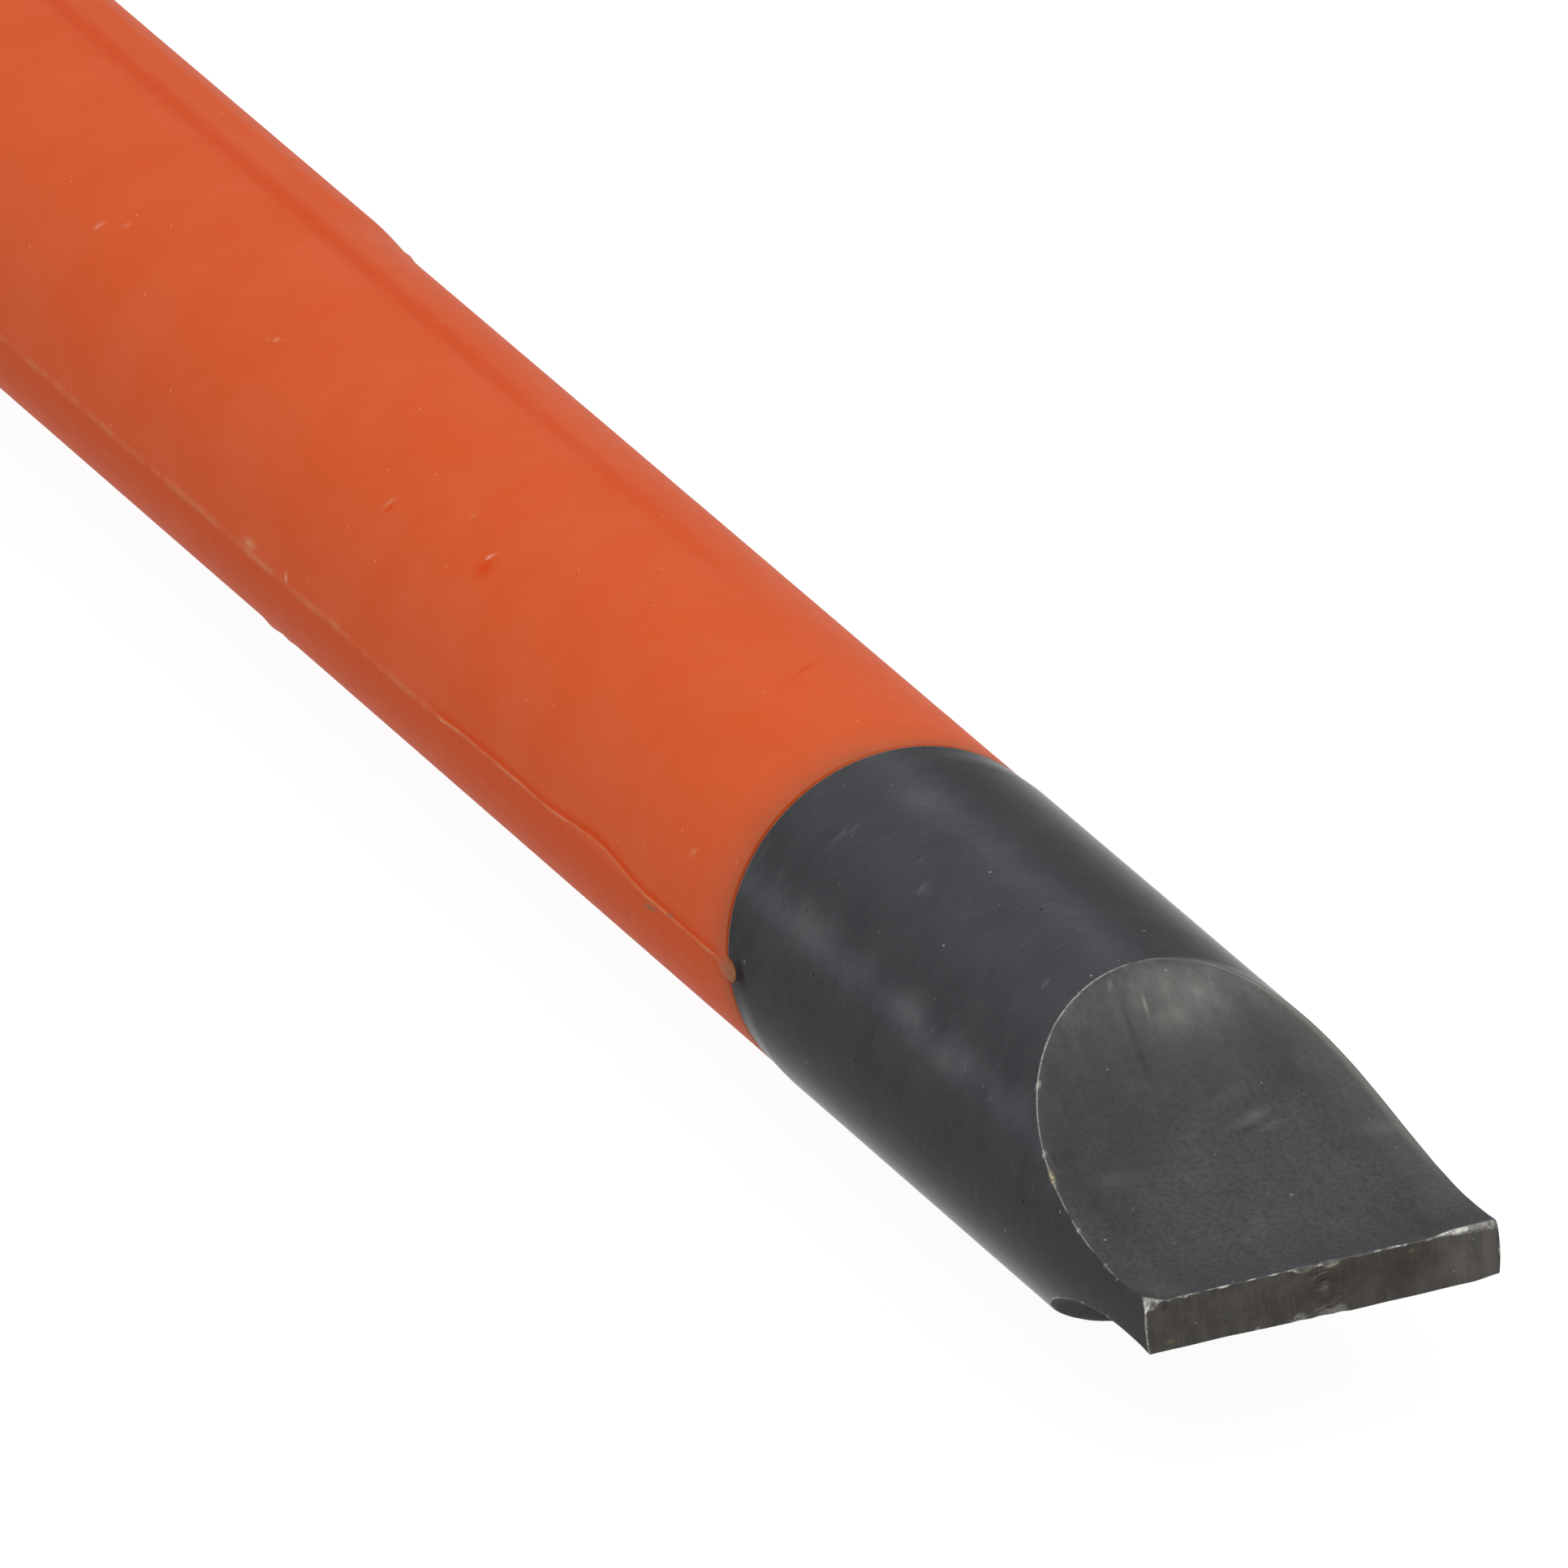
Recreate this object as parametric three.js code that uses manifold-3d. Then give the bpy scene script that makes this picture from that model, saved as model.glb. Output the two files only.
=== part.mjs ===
// A cold chisel in two pieces: one ground steel bar, and an orange sleeve moulded round its waist.
// Millimetres, +Z up. The chisel lies along X with its blade end at +X and its struck end at -X,
// its two blade flats face up and down, and the origin is under its middle, on the surface it lies on.
import * as THREE from "three";
import { mergeVertices } from "three/addons/utils/BufferGeometryUtils.js";
import Module from "manifold-3d";

// Driving dimensions
const BAR_DIAMETER = 12.7; // half-inch round stock
const OVERALL_LENGTH = 152.4;
const ROUND_SIDES = 64; // a multiple of 4, so that flats of the round lie level at the top and bottom

// Blade: two hollow flats ground with the rim of a wheel, meeting a blunt, square end face
const TIP_THICKNESS = 2.0;
const FLAT_LENGTH = 14.2; // from the end face to where the wheel runs out of the round
const WHEEL_RADIUS = 16.5;
const WHEEL_SIDES = 192;

// Waist that the sleeve is moulded on, between two square shoulders
const NOSE_LENGTH = 35.0; // bare steel from the blade end to the sleeve
const HEAD_LENGTH = 22.4; // bare steel at the struck end
const WAIST_DIAMETER = 9.6;
const KEY_GROOVES = 4;
const KEY_GROOVE_DEPTH = 0.6;
const KEY_GROOVE_WIDTH = 4.0;

// Struck end
const HEAD_TAPER_LENGTH = 3.2;
const STRIKING_FACE_DIAMETER = 9.4;

// Sleeve
const SLEEVE_DIAMETER = 0.987 * BAR_DIAMETER;
const MOULDING_GAP = 0.02;

// Blank raised pad on the sleeve's shoulder
const PAD_HEIGHT = 0.19;
const PAD_START = 88.0; // from the blade end
const PAD_LENGTH = 30.0;
const PAD_MIDDLE_ANGLE = THREE.MathUtils.degToRad(48); // from the top towards +Y
const PAD_SPREAD = THREE.MathUtils.degToRad(52);
const PAD_ROOT = 0.4; // how deep the pad's own solid reaches into the sleeve
const PAD_ARC_SIDES = 12;

// Values that follow from them
const BAR_RADIUS = BAR_DIAMETER / 2;
const WAIST_RADIUS = WAIST_DIAMETER / 2;
const SLEEVE_RADIUS = SLEEVE_DIAMETER / 2;
const TIP_X = OVERALL_LENGTH / 2;
const HEAD_X = -OVERALL_LENGTH / 2;
const FRONT_SHOULDER_X = TIP_X - NOSE_LENGTH;
const REAR_SHOULDER_X = HEAD_X + HEAD_LENGTH;
const AXIS_HEIGHT = BAR_RADIUS * Math.cos(Math.PI / ROUND_SIDES);

const STEEL = new THREE.MeshStandardMaterial({
  color: 0x45494f,
  roughness: 0.45,
  metalness: 0.9,
});
const SLEEVE_PLASTIC = new THREE.MeshStandardMaterial({
  color: 0xd65f38,
  roughness: 0.55,
  metalness: 0.0,
});

const wasm = await Module();
wasm.setup();

// A closed three.js geometry as a manifold-3d solid.
function toSolid(geometry) {
  const bare = geometry.clone();
  bare.deleteAttribute("normal");
  bare.deleteAttribute("uv");
  const merged = mergeVertices(bare, 1e-4);
  return new wasm.Manifold(
    new wasm.Mesh({
      numProp: 3,
      vertProperties: merged.attributes.position.array,
      triVerts: new Uint32Array(merged.index.array),
    }),
  );
}

function toGeometry(solid) {
  const mesh = solid.getMesh();
  const geometry = new THREE.BufferGeometry();
  geometry.setAttribute("position", new THREE.BufferAttribute(mesh.vertProperties, 3));
  geometry.setIndex(new THREE.BufferAttribute(mesh.triVerts, 1));
  geometry.computeVertexNormals();
  return geometry;
}

// Turns a profile of [x, radius] points about the chisel's axis, with a flat of the round underneath.
function turned(profile) {
  const points = profile.map(([x, radius]) => new THREE.Vector2(radius, x));
  return new THREE.LatheGeometry(points, ROUND_SIDES)
    .rotateY(Math.PI / ROUND_SIDES)
    .rotateZ(-Math.PI / 2)
    .translate(0, 0, AXIS_HEIGHT);
}

// Corners [x, radius] of the key grooves, spread evenly along the waist from the rear to the front.
// Depth is taken from the given radius, and margin widens each groove on both sides.
function keyGrooveCorners(radius, depth, margin) {
  const pitch = (FRONT_SHOULDER_X - REAR_SHOULDER_X) / (KEY_GROOVES + 1);
  const corners = [];
  for (let i = 1; i <= KEY_GROOVES; i += 1) {
    const middle = REAR_SHOULDER_X + i * pitch;
    const rear = middle - KEY_GROOVE_WIDTH / 2 - margin;
    const front = middle + KEY_GROOVE_WIDTH / 2 + margin;
    corners.push([rear, radius], [rear, radius - depth], [front, radius - depth], [front, radius]);
  }
  return corners;
}

// The wheel that grinds one flat: its axis runs across the blade, and its rim passes through
// the top of the round at the flat's heel and through the end face's edge.
function grindingWheel(side) {
  const rise = BAR_RADIUS - TIP_THICKNESS / 2;
  const chord = Math.hypot(FLAT_LENGTH, rise);
  const sagitta = Math.sqrt(WHEEL_RADIUS ** 2 - (chord / 2) ** 2);
  const centreX = TIP_X - FLAT_LENGTH / 2 + (sagitta * rise) / chord;
  const centreZ = (BAR_RADIUS + TIP_THICKNESS / 2) / 2 + (sagitta * FLAT_LENGTH) / chord;
  const wheel = new THREE.CylinderGeometry(
    WHEEL_RADIUS,
    WHEEL_RADIUS,
    2 * BAR_DIAMETER,
    WHEEL_SIDES,
  );
  return wheel.translate(centreX, 0, AXIS_HEIGHT + side * centreZ);
}

function chiselBar() {
  const bar = turned([
    [HEAD_X, 0],
    [HEAD_X, STRIKING_FACE_DIAMETER / 2],
    [HEAD_X + HEAD_TAPER_LENGTH, BAR_RADIUS],
    [REAR_SHOULDER_X, BAR_RADIUS],
    [REAR_SHOULDER_X, WAIST_RADIUS],
    ...keyGrooveCorners(WAIST_RADIUS, KEY_GROOVE_DEPTH, 0),
    [FRONT_SHOULDER_X, WAIST_RADIUS],
    [FRONT_SHOULDER_X, BAR_RADIUS],
    [TIP_X, BAR_RADIUS],
    [TIP_X, 0],
  ]);
  const ground = [-1, 1].reduce(
    (solid, side) => solid.subtract(toSolid(grindingWheel(side))),
    toSolid(bar),
  );
  return new THREE.Mesh(toGeometry(ground), STEEL);
}

// A curved pad that lies on the sleeve: a ring sector swept along X.
function markingPad() {
  const start = Math.PI / 2 - PAD_MIDDLE_ANGLE - PAD_SPREAD / 2;
  const end = start + PAD_SPREAD;
  const sector = new THREE.Shape();
  sector.absarc(0, 0, SLEEVE_RADIUS + PAD_HEIGHT, start, end, false);
  sector.absarc(0, 0, SLEEVE_RADIUS - PAD_ROOT, end, start, true);
  const pad = new THREE.ExtrudeGeometry(sector, {
    depth: PAD_LENGTH,
    bevelEnabled: false,
    curveSegments: PAD_ARC_SIDES,
  });
  // The section's own X and Y become the chisel's Y and Z, and it is swept along the chisel's X.
  const sectionToChisel = new THREE.Matrix4().makeBasis(
    new THREE.Vector3(0, 1, 0),
    new THREE.Vector3(0, 0, 1),
    new THREE.Vector3(1, 0, 0),
  );
  return pad.applyMatrix4(sectionToChisel).translate(TIP_X - PAD_START - PAD_LENGTH, 0, AXIS_HEIGHT);
}

function shankSleeve() {
  const rear = REAR_SHOULDER_X + MOULDING_GAP;
  const front = FRONT_SHOULDER_X - MOULDING_GAP;
  const bore = WAIST_RADIUS + MOULDING_GAP;
  const tube = turned([
    [rear, bore],
    [rear, SLEEVE_RADIUS],
    [front, SLEEVE_RADIUS],
    [front, bore],
    ...keyGrooveCorners(bore, KEY_GROOVE_DEPTH, -MOULDING_GAP).reverse(),
    [rear, bore],
  ]);
  return new THREE.Mesh(toGeometry(toSolid(tube).add(toSolid(markingPad()))), SLEEVE_PLASTIC);
}

const PIECES = {
  chisel_bar: chiselBar,
  shank_sleeve: shankSleeve,
};

const chisel = new THREE.Group();
for (const [name, make] of Object.entries(PIECES)) {
  const mesh = make();
  mesh.name = name;
  chisel.add(mesh);
}

export default chisel;
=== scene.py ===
"""A cold chisel with a blunt, hollow-ground blade and an orange moulded sleeve, on a plain pale floor.

Shapes are worked out in millimetres in the chisel's own frame: a is the distance from the blade's end
face towards the struck end, y runs across the blade and z is square to its flats. to_world() puts them
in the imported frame, where the blade points along +X. Angles about the axis run from the top towards -y.
"""
import math

import bmesh
import bpy
import numpy as np
from mathutils import Matrix, Vector


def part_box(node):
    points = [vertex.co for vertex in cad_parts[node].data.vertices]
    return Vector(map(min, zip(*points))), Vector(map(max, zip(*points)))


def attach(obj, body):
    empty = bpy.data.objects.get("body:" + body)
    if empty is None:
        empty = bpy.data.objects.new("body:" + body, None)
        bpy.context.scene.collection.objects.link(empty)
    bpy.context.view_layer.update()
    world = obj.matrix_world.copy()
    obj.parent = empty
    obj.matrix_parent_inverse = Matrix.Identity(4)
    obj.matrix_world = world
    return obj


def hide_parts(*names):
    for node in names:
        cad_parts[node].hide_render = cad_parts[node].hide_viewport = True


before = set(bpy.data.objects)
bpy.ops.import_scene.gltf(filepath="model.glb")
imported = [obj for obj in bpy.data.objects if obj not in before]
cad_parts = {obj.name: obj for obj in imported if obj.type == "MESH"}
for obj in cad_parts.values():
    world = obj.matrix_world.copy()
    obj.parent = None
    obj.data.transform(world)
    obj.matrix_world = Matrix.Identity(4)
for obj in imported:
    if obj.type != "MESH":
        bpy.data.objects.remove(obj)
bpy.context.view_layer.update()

MM = 0.001
BAR_LOW, BAR_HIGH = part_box("chisel_bar")
SLEEVE_LOW, SLEEVE_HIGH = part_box("shank_sleeve")

# Sizes of the bar, from the frame
TIP_X = BAR_HIGH.x
AXIS_Z = (BAR_LOW.z + BAR_HIGH.z) / 2
BAR_RADIUS = (BAR_HIGH.z - BAR_LOW.z) / 2 / MM
BAR_LENGTH = (BAR_HIGH.x - BAR_LOW.x) / MM
SLEEVE_FRONT = (BAR_HIGH.x - SLEEVE_HIGH.x) / MM
SLEEVE_REAR = (BAR_HIGH.x - SLEEVE_LOW.x) / MM

# Sizes of the bar that its box doesn't give
TIP_HALF = 1.0
FLAT_LENGTH = 14.2
WHEEL_RADIUS = 16.5
SHOULDER_GAP = 0.02
SHOULDER_CHAMFER = (1.8, 0.07)  # length and depth
WAIST_RADIUS = 5.4
SHOULDER_ROW = 6.1  # of a row of points on each shoulder
HEAD_TAPER = 3.2
FACE_RADIUS = 4.7

# Details of the end face. A place is (y, z).
NUB_PLACE = (0.12, -0.24)
NUB_RADIUS = 0.22
RING_PITCH = 0.17
RING_REACH = 1.5
CORNER_CHIP = ((0, -5.70, 0.86), (-0.79, -0.36, 0.50))  # a point of its facet, and the facet's normal
CHIP_HOLLOW = (-6.0, 0.66)
WORN_CORNER_START = 3.0  # y where the upper edge is worn away, up to the blade's side
WORN_CORNER_SLOPE = (0.40, 0.92)  # its facet's normal: its share up, and towards the end
FLAKE_SLOPE = (0.26, 0.966)  # the same for the flakes off the lower edge

# Chips along the end face's upper edge and flakes off its lower one: y, half width, depth
TOP_CHIPS = (
    (-4.9, 0.10, 0.05),
    (-3.5, 0.25, 0.04),
    (-0.6, 0.35, 0.12),
    (0.35, 0.35, 0.13),
    (2.3, 0.2, 0.04),
    (3.4, 0.15, 0.03),
)
LOWER_FLAKES = (
    (-2.4, 0.12, 0.07),
    (-0.9, 0.35, 0.10),
    (-0.1, 0.4, 0.12),
    (0.6, 0.3, 0.11),
    (4.6, 0.3, 0.05),
)

# Bright nicks along the flats' near edges: a, half width. The first is brassy.
ARC_CHIPS = ((8.3, 0.24), (9.3, 0.07), (11.6, 0.06), (5.7, 0.08), (3.4, 0.06))

# How the two flats differ from the wheel's cut, in millimetres
WORN_DEPTH = 0.165
WORN_CORNER_RISE = 0.09
THICKENED_BY = 0.09
FLAT_CHANGE_REACH = 8.0  # both changes fade out at this distance from the end face

# Roundings of the blade's edges
ARC_ROUNDING = 0.035
BROKEN_ROUNDING = 0.02

# Marks on the steel: two coordinates, half length along the first, half width, slant, strength, a look.
# On the flat the coordinates are a and y, on the end face y and z, on the nose a and the angle.
FLAT_MARKS = (
    (13.1, 1.0, 1.0, 1.8, 0, 0.62, "rubbed_and_glint"),
    (13.1, -0.3, 0.28, 0.05, 8, 1.2, "rubbed_and_glint"),
    (13.85, -1.2, 0.16, 0.07, 10, 0.9, "rubbed_and_glint"),
    (8.85, 1.5, 0.20, 0.65, -15, 0.5, "rubbed_and_glint"),
    (8.35, 1.9, 0.10, 0.45, -15, 0.35, "rubbed_and_glint"),
    (7.2, 5.4, 0.35, 0.7, 12, 0.4, "rubbed_and_glint"),
    (1.0, -5.6, 1.2, 0.9, 0, 0.22, "rubbed_and_glint"),
    (7.6, -4.1, 0.35, 0.8, 0, 0.35, "rubbed_and_glint"),
    (9.8, 1.0, 0.25, 1.0, -15, 0.2, "rubbed_and_glint"),
    (8.4, 1.1, 0.13, 0.4, -15, 0.7, "stain_and_shadow"),
    (5.07, 4.2, 0.07, 0.14, 40, 1.0, "stain_and_shadow"),
    (12.2, -1.1, 2.2, 0.14, 4, 0.5, "stain_and_shadow"),
    (10.6, 3.6, 1.2, 1.0, 20, 0.25, "stain_and_shadow"),
    (10.5, -3.4, 3.0, 2.0, 0, 0.40, "stain_and_shadow"),
    (6.0, -4.6, 3.0, 1.2, 0, 0.30, "stain_and_shadow"),
    (5.0, 4.8, 3.5, 1.2, 0, 0.25, "stain_and_shadow"),
    (8.0, -5.3, 3.0, 0.8, 0, 0.30, "stain_and_shadow"),
    (1.0, 3.8, 1.2, 1.4, 0, 0.25, "stain_and_shadow"),
    (9.9, 0.8, 1.0, 3.0, 0, 0.15, "stain_and_shadow"),
)
END_MARKS = (
    (0.1, 0.0, 1.1, 0.6, 0, 0.6, "stain_and_shadow"),
    (-0.85, 0.70, 0.35, 0.13, 12, 1.0, "stain_and_shadow"),
    (0.1, -0.76, 0.5, 0.07, 16, 1.0, "stain_and_shadow"),
    (2.4, -0.1, 1.3, 0.8, 0, 0.55, "stain_and_shadow"),
    (5.3, -0.1, 0.9, 1.0, 0, 0.35, "rubbed_and_glint"),
    (-5.62, 0.62, 0.10, 0.20, -30, 0.9, "stain_and_shadow"),
    (0.4, 0.62, 0.25, 0.08, 12, 0.5, "brassy"),
    (-5.5, -0.69, 0.13, 0.07, 0, 0.7, "brassy"),
    (3.2, 0.54, 0.08, 0.07, 0, 0.8, "brassy"),
)
NOSE_MARKS = (
    # The first mark is a painted shadow: near-black steel beside the flash lump that overhangs it.
    (33.85, 91.5, 0.42, 0.55, 0, 1.3, "stain_and_shadow"),
    (34.0, 84, 1.0, 1.4, 0, 0.3, "stain_and_shadow"),
    (24.6, 52, 0.07, 0.07, 0, 1.0, "stain_and_shadow"),
    (24.7, 56, 0.05, 0.09, 0, 0.8, "stain_and_shadow"),
    (24.2, 49, 0.05, 0.05, 0, 0.8, "stain_and_shadow"),
    (29.6, 60, 1.5, 0.9, 0, 0.35, "rubbed_and_glint"),
    (21.2, 59, 1.3, 0.5, 10, 0.35, "rubbed_and_glint"),
    (17.6, 64, 1.6, 0.5, 10, 0.35, "rubbed_and_glint"),
    (30.6, 7, 1.2, 0.6, 0, 0.30, "rubbed_and_glint"),
    (31.3, 33.5, 0.04, 0.45, 8, 0.7, "rubbed_and_glint"),
    (31.0, 31.0, 0.03, 0.40, 8, 0.6, "rubbed_and_glint"),
    (25.3, 28.0, 0.04, 0.60, 12, 0.7, "rubbed_and_glint"),
    (24.9, 26.5, 0.03, 0.35, 12, 0.5, "rubbed_and_glint"),
    (28.4, 9.5, 0.04, 0.60, 8, 0.6, "rubbed_and_glint"),
    (27.9, 12.0, 0.03, 0.45, 8, 0.5, "rubbed_and_glint"),
    (15.5, 26, 0.06, 0.06, 0, 1.0, "rubbed_and_glint"),
    (34.6, 51, 0.07, 0.07, 0, 0.8, "rubbed_and_glint"),
    (27.5, 72, 0.05, 0.05, 0, 0.8, "rubbed_and_glint"),
)

# Sizes of the sleeve
SLEEVE_RADIUS = 0.987 * BAR_RADIUS
SLEEVE_BORE = 5.6
PARTING_ANGLE = 91.0  # degrees from the top to the mould's joint on the far side
BOLD_END = 60.0  # the near joint has a deep groove up to here
KNOTS = (42.5, 53.2, 59.6, 76.6, 89.0)
SINK_ANGLE = -13.0  # a shallow sink mark along the sleeve
SINK_HALF = 4.5
SINK_DEPTH = 0.03
PAD_START = 88.0  # the blank raised pad
PAD_END = 118.0
PAD_RAMP = 3.6
PAD_HEIGHT = 0.18
PAD_MIDDLE = -48.0
PAD_HALF = 25.0
FLASH_ANGLE = 91.6  # the lump of flash at the near joint's front end
FLASH_SPREAD = 3.8
FLASH_REACH = 0.8
FILM_REACH = 0.95  # the grimy film behind the steel fades over this length

# The mould's joint on the near side: a, degrees from the top
JOINT_LINE = (
    (35, 90.7),
    (42.8, 90.7),
    (45.9, 86.5),
    (48.5, 88.6),
    (50.5, 89.8),
    (58, 90.2),
    (60, 91.3),
    (66, 91.6),
    (69, 90.5),
    (72, 91.3),
    (113, 91.3),
)

# Small marks on the sleeve: a, angle, half length, half width, slant in degrees, height, and a look
SLEEVE_MARKS = (
    (67.8, 45, 0.22, 0.07, 60, 0.012, "dusty"),
    (67.6, 47, 0.20, 0.10, 60, -0.02, "rich"),
    (80.8, 30, 0.45, 0.04, 20, 0.02, "dusty"),
    (63.1, 31, 0.12, 0.06, 0, -0.02, "dusty"),
    (60.2, 41.5, 0.42, 0.36, 0, -0.025, "rich"),
    (60.4, 37.6, 0.14, 0.05, 50, 0.012, "white"),
    (73.3, 89.2, 0.22, 0.05, 75, 0.05, "white"),
    (76.5, 88.6, 0.45, 0.16, 10, 0.03, "dusty"),
    (94.7, 39, 0.12, 0.07, 30, 0.012, "white"),
    (93.4, 33.5, 0.06, 0.06, 0, 0.01, "white"),
    (38.8, 66.2, 0.22, 0.07, 40, 0.02, "dusty"),
    (43.0, -4, 1.15, 0.07, 128, 0.03, "rich"),
    (44.5, 107, 0.30, 0.05, 70, -0.04, "dirty"),
    (41.8, 94.5, 0.55, 0.09, 10, 0.0, "dirty"),
    (39.9, 90.6, 0.20, 0.07, 10, 0.0, "dirty"),
    (78.9, 131, 0.35, 0.35, 0, 0.06, "dusty"),
    (77.6, 132, 0.25, 0.20, 0, 0.03, "dusty"),
    (88.2, -49, 0.30, 0.12, 0, 0.11, "dusty"),
)

# Mesh fineness, in millimetres or as counts
ARC_COLUMNS = 84
FLAT_COLUMNS = 240
EDGE_STEP = 0.018
SLEEVE_COLUMNS = 276
SLEEVE_STEP = 0.14


def to_world(points):
    """Points (a, y, z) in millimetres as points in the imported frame, in metres."""
    out = np.empty_like(points)
    out[:, 0] = TIP_X - points[:, 0] * MM
    out[:, 1] = points[:, 1] * MM
    out[:, 2] = AXIS_Z + points[:, 2] * MM
    return out


# ---- noise and smooth shape algebra


def lattice(cells, seed):
    """A repeatable random number from 0 to 1 for each whole-number lattice point."""
    x, y, z = (cells[..., i].astype(np.int64) for i in range(3))
    h = (x * 374761393 + y * 668265263 + z * 2147483647 + seed * 144665) & 0xFFFFFFFF
    h = ((h ^ (h >> 13)) * 1274126177) & 0xFFFFFFFF
    h = ((h ^ (h >> 16)) * 2246822519) & 0xFFFFFFFF
    return ((h ^ (h >> 15)) & 0xFFFFFF) / float(0xFFFFFF)


def noise(points, cell, seed=0):
    """Smooth noise from -1 to 1. cell is the size of a bump along each axis, in the points' unit."""
    p = points / np.asarray(cell, float)
    base = np.floor(p)
    t = p - base
    t = t * t * (3 - 2 * t)
    total = np.zeros(len(p))
    for corner in range(8):
        step = np.array([corner & 1, (corner >> 1) & 1, corner >> 2])
        weight = np.prod(np.where(step, t, 1 - t), axis=1)
        total += weight * lattice(base + step, seed)
    return 2 * total - 1


def fractal(points, cell, seed=0, octaves=3):
    """Noise summed over octaves, about -1 to 1."""
    cell = np.asarray(cell, float)
    total = np.zeros(len(points))
    for octave in range(octaves):
        total += noise(points, cell / 2**octave, seed + octave) / 2**octave
    return total / (2 - 2 ** (1 - octaves))


def line_points(values):
    """Values along a line as points, so that noise can follow them."""
    return np.stack([values, np.zeros_like(values), np.zeros_like(values)], axis=1)


def smoothstep(low, high, x):
    t = np.clip((x - low) / (high - low), 0, 1)
    return t * t * (3 - 2 * t)


def bell(x, width):
    return np.exp(-((x / width) ** 2))


def oval(u, v, half_length, half_width, slant=0.0):
    """A soft oval that is 1 where u and v are 0, with its length turned by slant degrees from u."""
    c, s = math.cos(math.radians(slant)), math.sin(math.radians(slant))
    return bell(c * u + s * v, half_length) * bell(c * v - s * u, half_width)


def rounded_max(f, g, radius):
    """The intersection of two solids, with its edge rounded to a radius."""
    u = np.maximum(f + radius, 0)
    v = np.maximum(g + radius, 0)
    return np.minimum(-radius, np.maximum(f, g)) + np.hypot(u, v)


def pull_to_surface(points, field, steps=5, nudge=0.004):
    """Moves points along the field's slope until they lie on its zero surface."""
    directions = np.array([(1, 1, 1), (1, -1, -1), (-1, 1, -1), (-1, -1, 1)], float)
    for _ in range(steps):
        slope = np.zeros_like(points)
        value = np.zeros(len(points))
        for d in directions:
            f = field(points + nudge * d)
            value += f / 4
            slope += f[:, None] * d
        slope /= 4 * nudge
        square = np.maximum((slope**2).sum(1), 0.25)
        points = points - (value / square)[:, None] * slope
    return points


# ---- mesh building


def spread(length, columns, first):
    """Shares of a line from 0 to 1, closer together at both ends, where a step is about first long."""
    s = np.linspace(-1, 1, columns + 1)
    even = length / columns
    if even <= first:
        return (s + 1) / 2
    low, high = 1e-3, 6.0
    for _ in range(40):
        k = (low + high) / 2
        step = even * k / (math.cosh(k) ** 2 * math.tanh(k))
        if step > first:
            low = k
        else:
            high = k
    return (1 + np.tanh(k * s) / math.tanh(k)) / 2


def grid_quads(index):
    """The four point numbers of each cell of a grid of point numbers."""
    corners = [index[:-1, :-1], index[:-1, 1:], index[1:, 1:], index[1:, :-1]]
    return np.stack(corners, axis=-1).reshape(-1, 4)


class Sheets:
    """Grids of points that are welded into one closed mesh wherever their points meet."""

    def __init__(self):
        self.points = []
        self.quads = []
        self.slots = []
        self.count = 0

    def add(self, grid, slot=0):
        """grid is an array of rows x columns x 3."""
        rows, columns = grid.shape[:2]
        index = np.arange(rows * columns).reshape(rows, columns) + self.count
        quads = grid_quads(index)
        self.points.append(grid.reshape(-1, 3))
        self.quads.append(quads)
        self.slots.append(np.full(len(quads), slot))
        self.count += rows * columns

    def weld(self, tolerance=1e-4):
        """Unique points, and faces as tuples of their numbers with each face's slot."""
        points = np.concatenate(self.points)
        quads = np.concatenate(self.quads)
        slots = np.concatenate(self.slots)
        keys = np.round(points / tolerance).astype(np.int64)
        _, first, number = np.unique(keys, axis=0, return_index=True, return_inverse=True)
        quads = number.reshape(-1)[quads]
        plain = ~(quads == np.roll(quads, -1, axis=1)).any(axis=1)
        faces = list(map(tuple, quads[plain].tolist()))
        face_slots = slots[plain].tolist()
        for quad, slot in zip(quads[~plain].tolist(), slots[~plain].tolist()):
            corners = tuple(dict.fromkeys(quad))
            if len(corners) == 3:
                faces.append(corners)
                face_slots.append(slot)
        return points[first], faces, face_slots


def face_outwards(mesh):
    shape = bmesh.new()
    shape.from_mesh(mesh)
    bmesh.ops.recalc_face_normals(shape, faces=shape.faces)
    shape.to_mesh(mesh)
    shape.free()


def make_piece(name, points, faces, slots, materials, attributes):
    """A smooth-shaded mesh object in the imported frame, with float values stored on its points."""
    mesh = bpy.data.meshes.new(name)
    mesh.from_pydata(to_world(points).tolist(), [], faces)
    for key, values in attributes.items():
        layer = mesh.attributes.new(key, "FLOAT", "POINT")
        layer.data.foreach_set("value", np.clip(values, 0, 1).astype(np.float32))
    for material in materials:
        mesh.materials.append(material)
    mesh.polygons.foreach_set("material_index", np.array(slots, np.int32))
    mesh.polygons.foreach_set("use_smooth", np.ones(len(faces), bool))
    face_outwards(mesh)
    piece = bpy.data.objects.new(name, mesh)
    bpy.context.scene.collection.objects.link(piece)
    return piece


# ---- the bar's shape


def wheel_centre():
    """Where the grinding wheel's axis stands, as (a, z), so that its rim cuts the flat."""
    rise = BAR_RADIUS - TIP_HALF
    chord = math.hypot(FLAT_LENGTH, rise)
    sagitta = math.sqrt(WHEEL_RADIUS**2 - (chord / 2) ** 2)
    a = FLAT_LENGTH / 2 - sagitta * rise / chord
    z = (BAR_RADIUS + TIP_HALF) / 2 + sagitta * FLAT_LENGTH / chord
    return a, z


WHEEL_A, WHEEL_Z = wheel_centre()


def flat_height(a):
    """Half the blade's thickness at a."""
    return WHEEL_Z - np.sqrt(WHEEL_RADIUS**2 - (a - WHEEL_A) ** 2)


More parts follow.
